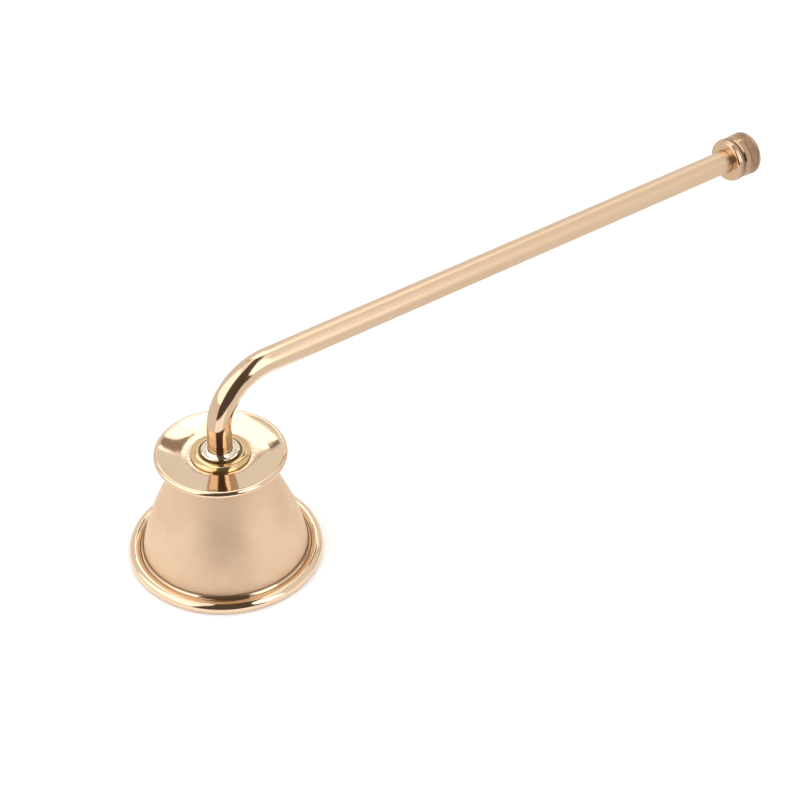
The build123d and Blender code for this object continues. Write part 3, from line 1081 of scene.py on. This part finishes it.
def toward(azimuth, rise=0.0):
    """The way at an azimuth and an elevation."""
    away = Vector((camera_aim.x - camera_place.x, camera_aim.y - camera_place.y, 0)).normalized()
    level = Quaternion((0, 0, 1), -radians(azimuth)) @ away
    return level * cos(radians(rise)) + Vector((0, 0, sin(radians(rise))))


def soft_light(name, level, width, height, place):
    """A soft light that shines down from its place, as bright as the level says, unseen by the camera."""
    lamp = bpy.data.lights.new(name, "AREA")
    lamp.shape, lamp.size, lamp.size_y = "RECTANGLE", width, height
    lamp.energy = level * pi * width * height
    box = shown(name, lamp)
    box.location = place
    box.visible_camera = False
    return box


def softbox(name, level, azimuths, low, high):
    """A soft light that stands upright and faces the object."""
    outward = toward(sum(azimuths) / 2)
    width = 2 * light_reach * tan(radians(azimuths[1] - azimuths[0]) / 2)
    place = outward * light_reach + Vector((0, 0, (low + high) / 2))
    box = soft_light(name, level, width, high - low, place)
    box.rotation_mode = "QUATERNION"
    box.rotation_quaternion = outward.to_track_quat("Z", "Y")


def bare_tree(holder):
    """The emptied node tree of a material or a world."""
    holder.use_nodes = True
    holder.node_tree.nodes.clear()
    return holder.node_tree


def carded(name, places, rows, row, level, tint):
    """A card that only shows in polished metal, where it tames the white of the room."""
    card = meshed(name, places, woven(rows, row))
    material = bpy.data.materials.new(name)
    tree = bare_tree(material)
    glow = add(tree, "ShaderNodeEmission", {}, {"Color": (*tint, 1), "Strength": level})
    add(tree, "ShaderNodeOutputMaterial", {}, {0: glow.outputs[0]})
    card.data.materials.append(material)
    card.visible_camera = card.visible_diffuse = card.visible_shadow = card.visible_transmission = False


def band(name, level, azimuths, route, tint=paper_tint):
    """A card that runs round the object and follows a route of reaches and heights."""
    turns = np.linspace(*azimuths, 49)
    places = [toward(turn) * reach + Vector((0, 0, height)) for turn in turns for reach, height in route]
    carded(name, places, len(turns), len(route), level, tint)


def hood(name, level, outline):
    """A dark card a metre off on the camera's side, with its reach to left and right at each elevation."""
    columns = 9
    places = [
        toward(180, rise) * sqrt(1 - side**2) + toward(90) * side
        for rise, left, right in outline
        for side in np.linspace(-left, right, columns)
    ]
    carded(name, places, len(outline), columns, level, dark_tint)


def ribbon(name, level, route, half_width, tint=dark_tint):
    """A card a metre off that follows a route of azimuths and elevations."""
    steps = 12
    middles = [
        toward(*(low + (high - low) * step / steps for low, high in zip(start, end)))
        for start, end in zip(route, route[1:])
        for step in range(steps + 1)
    ]
    places = []
    for before, middle, after in zip(middles[:1] + middles, middles, middles[1:] + middles[-1:]):
        side = middle.cross(after - before).normalized() * half_width
        places += [middle - side, middle + side]
    carded(name, places, len(middles), 2, level, tint)


def floor():
    """A wide pale floor, clear from below and open under the bell, so that light reaches its hollow side."""
    count = 96
    turns = [2 * pi * turn / count for turn in range(count)]
    rings = (floor_opening, floor_reach)
    places = [(reach * cos(turn), reach * sin(turn), 0) for reach in rings for turn in turns]
    sheet = meshed("floor", places, woven(2, count, row_closes=True))
    material = bpy.data.materials.new("floor")
    tree = bare_tree(material)
    paper = add(tree, "ShaderNodeBsdfDiffuse", {}, {"Color": (0.9, 0.9, 0.9, 1)})
    clear = add(tree, "ShaderNodeBsdfTransparent")
    below = add(tree, "ShaderNodeNewGeometry").outputs["Backfacing"]
    mixed = add(tree, "ShaderNodeMixShader", {}, {0: below, 1: paper.outputs[0], 2: clear.outputs[0]})
    add(tree, "ShaderNodeOutputMaterial", {}, {0: mixed.outputs[0]})
    sheet.data.materials.append(material)


def room():
    """White all round, for the camera, the metal and the light on the floor."""
    world = bpy.data.worlds.new("room")
    bpy.context.scene.world = world
    tree = bare_tree(world)
    back = add(tree, "ShaderNodeBackground", {}, {"Color": (1, 1, 1, 1)})
    add(tree, "ShaderNodeOutputWorld", {}, {0: back.outputs[0]})


def camera():
    data = bpy.data.cameras.new("camera")
    data.lens, data.clip_start, data.clip_end = camera_lens, 0.01, 20
    eye = shown("camera", data)
    eye.location = camera_place
    eye.rotation_mode = "QUATERNION"
    look = (camera_aim - camera_place).to_track_quat("-Z", "Y")
    eye.rotation_quaternion = look @ Quaternion((0, 0, 1), -camera_roll)
    bpy.context.scene.camera = eye


floor()
room()
camera()
softbox("left_light", 0.8, (-148, -72), 0.3, 2.6)
softbox("right_light", 1.2, (115, 150), 0.2, 2.6)
softbox("back_light", 1.0, (-31, 27), 1.05, 4.4)
soft_light("top_light", 0.35, 1.6, 1.6, (0, 0, 1.6))
band("tent", 0.84, (-180, 180), ((tent_reach, 0.0), (tent_reach, tent_height), (0.0, tent_height)))
band("floor_sheet", 0.86, (-149, 151), [(reach, sheet_lift) for reach in sheet_reaches])
band("front_apron", 0.1, (143, 213), [(reach, apron_lift) for reach in apron_reaches], dark_tint)
low_rows = (0, 0.57, 0.68), (10, 0.56, 0.68), (20, 0.5, 0.6), (30, 0.43, 0.47), (49, 0.32, 0.37)
high_rows = (64, 0.22, 0.32), (77, 0.15, 0.29), (90, 0.13, 0.26), (104, 0.09, 0.2)
hood("front_hood", 0.1, low_rows + high_rows)
ribbon("left_patch", 0.3, ((-1, 45.5), (25, 45.5)), 0.06)
ribbon("right_patch", 0.22, ((-19, 41), (-30, 40)), 0.036)
ribbon("right_line", 0.36, ((-4, 40.3), (-22, 40.3)), 0.008)
ribbon("right_edge", 0.36, ((-35, 42), (-39, 55), (-36, 67)), 0.014)
ribbon("thin_line", 0.3, ((62, 61), (80, 71)), 0.022)
ribbon("right_foot", 0.25, ((42, 2), (76, 2)), 0.08, copper_tint)

bpy.context.scene.view_settings.view_transform = "Standard"
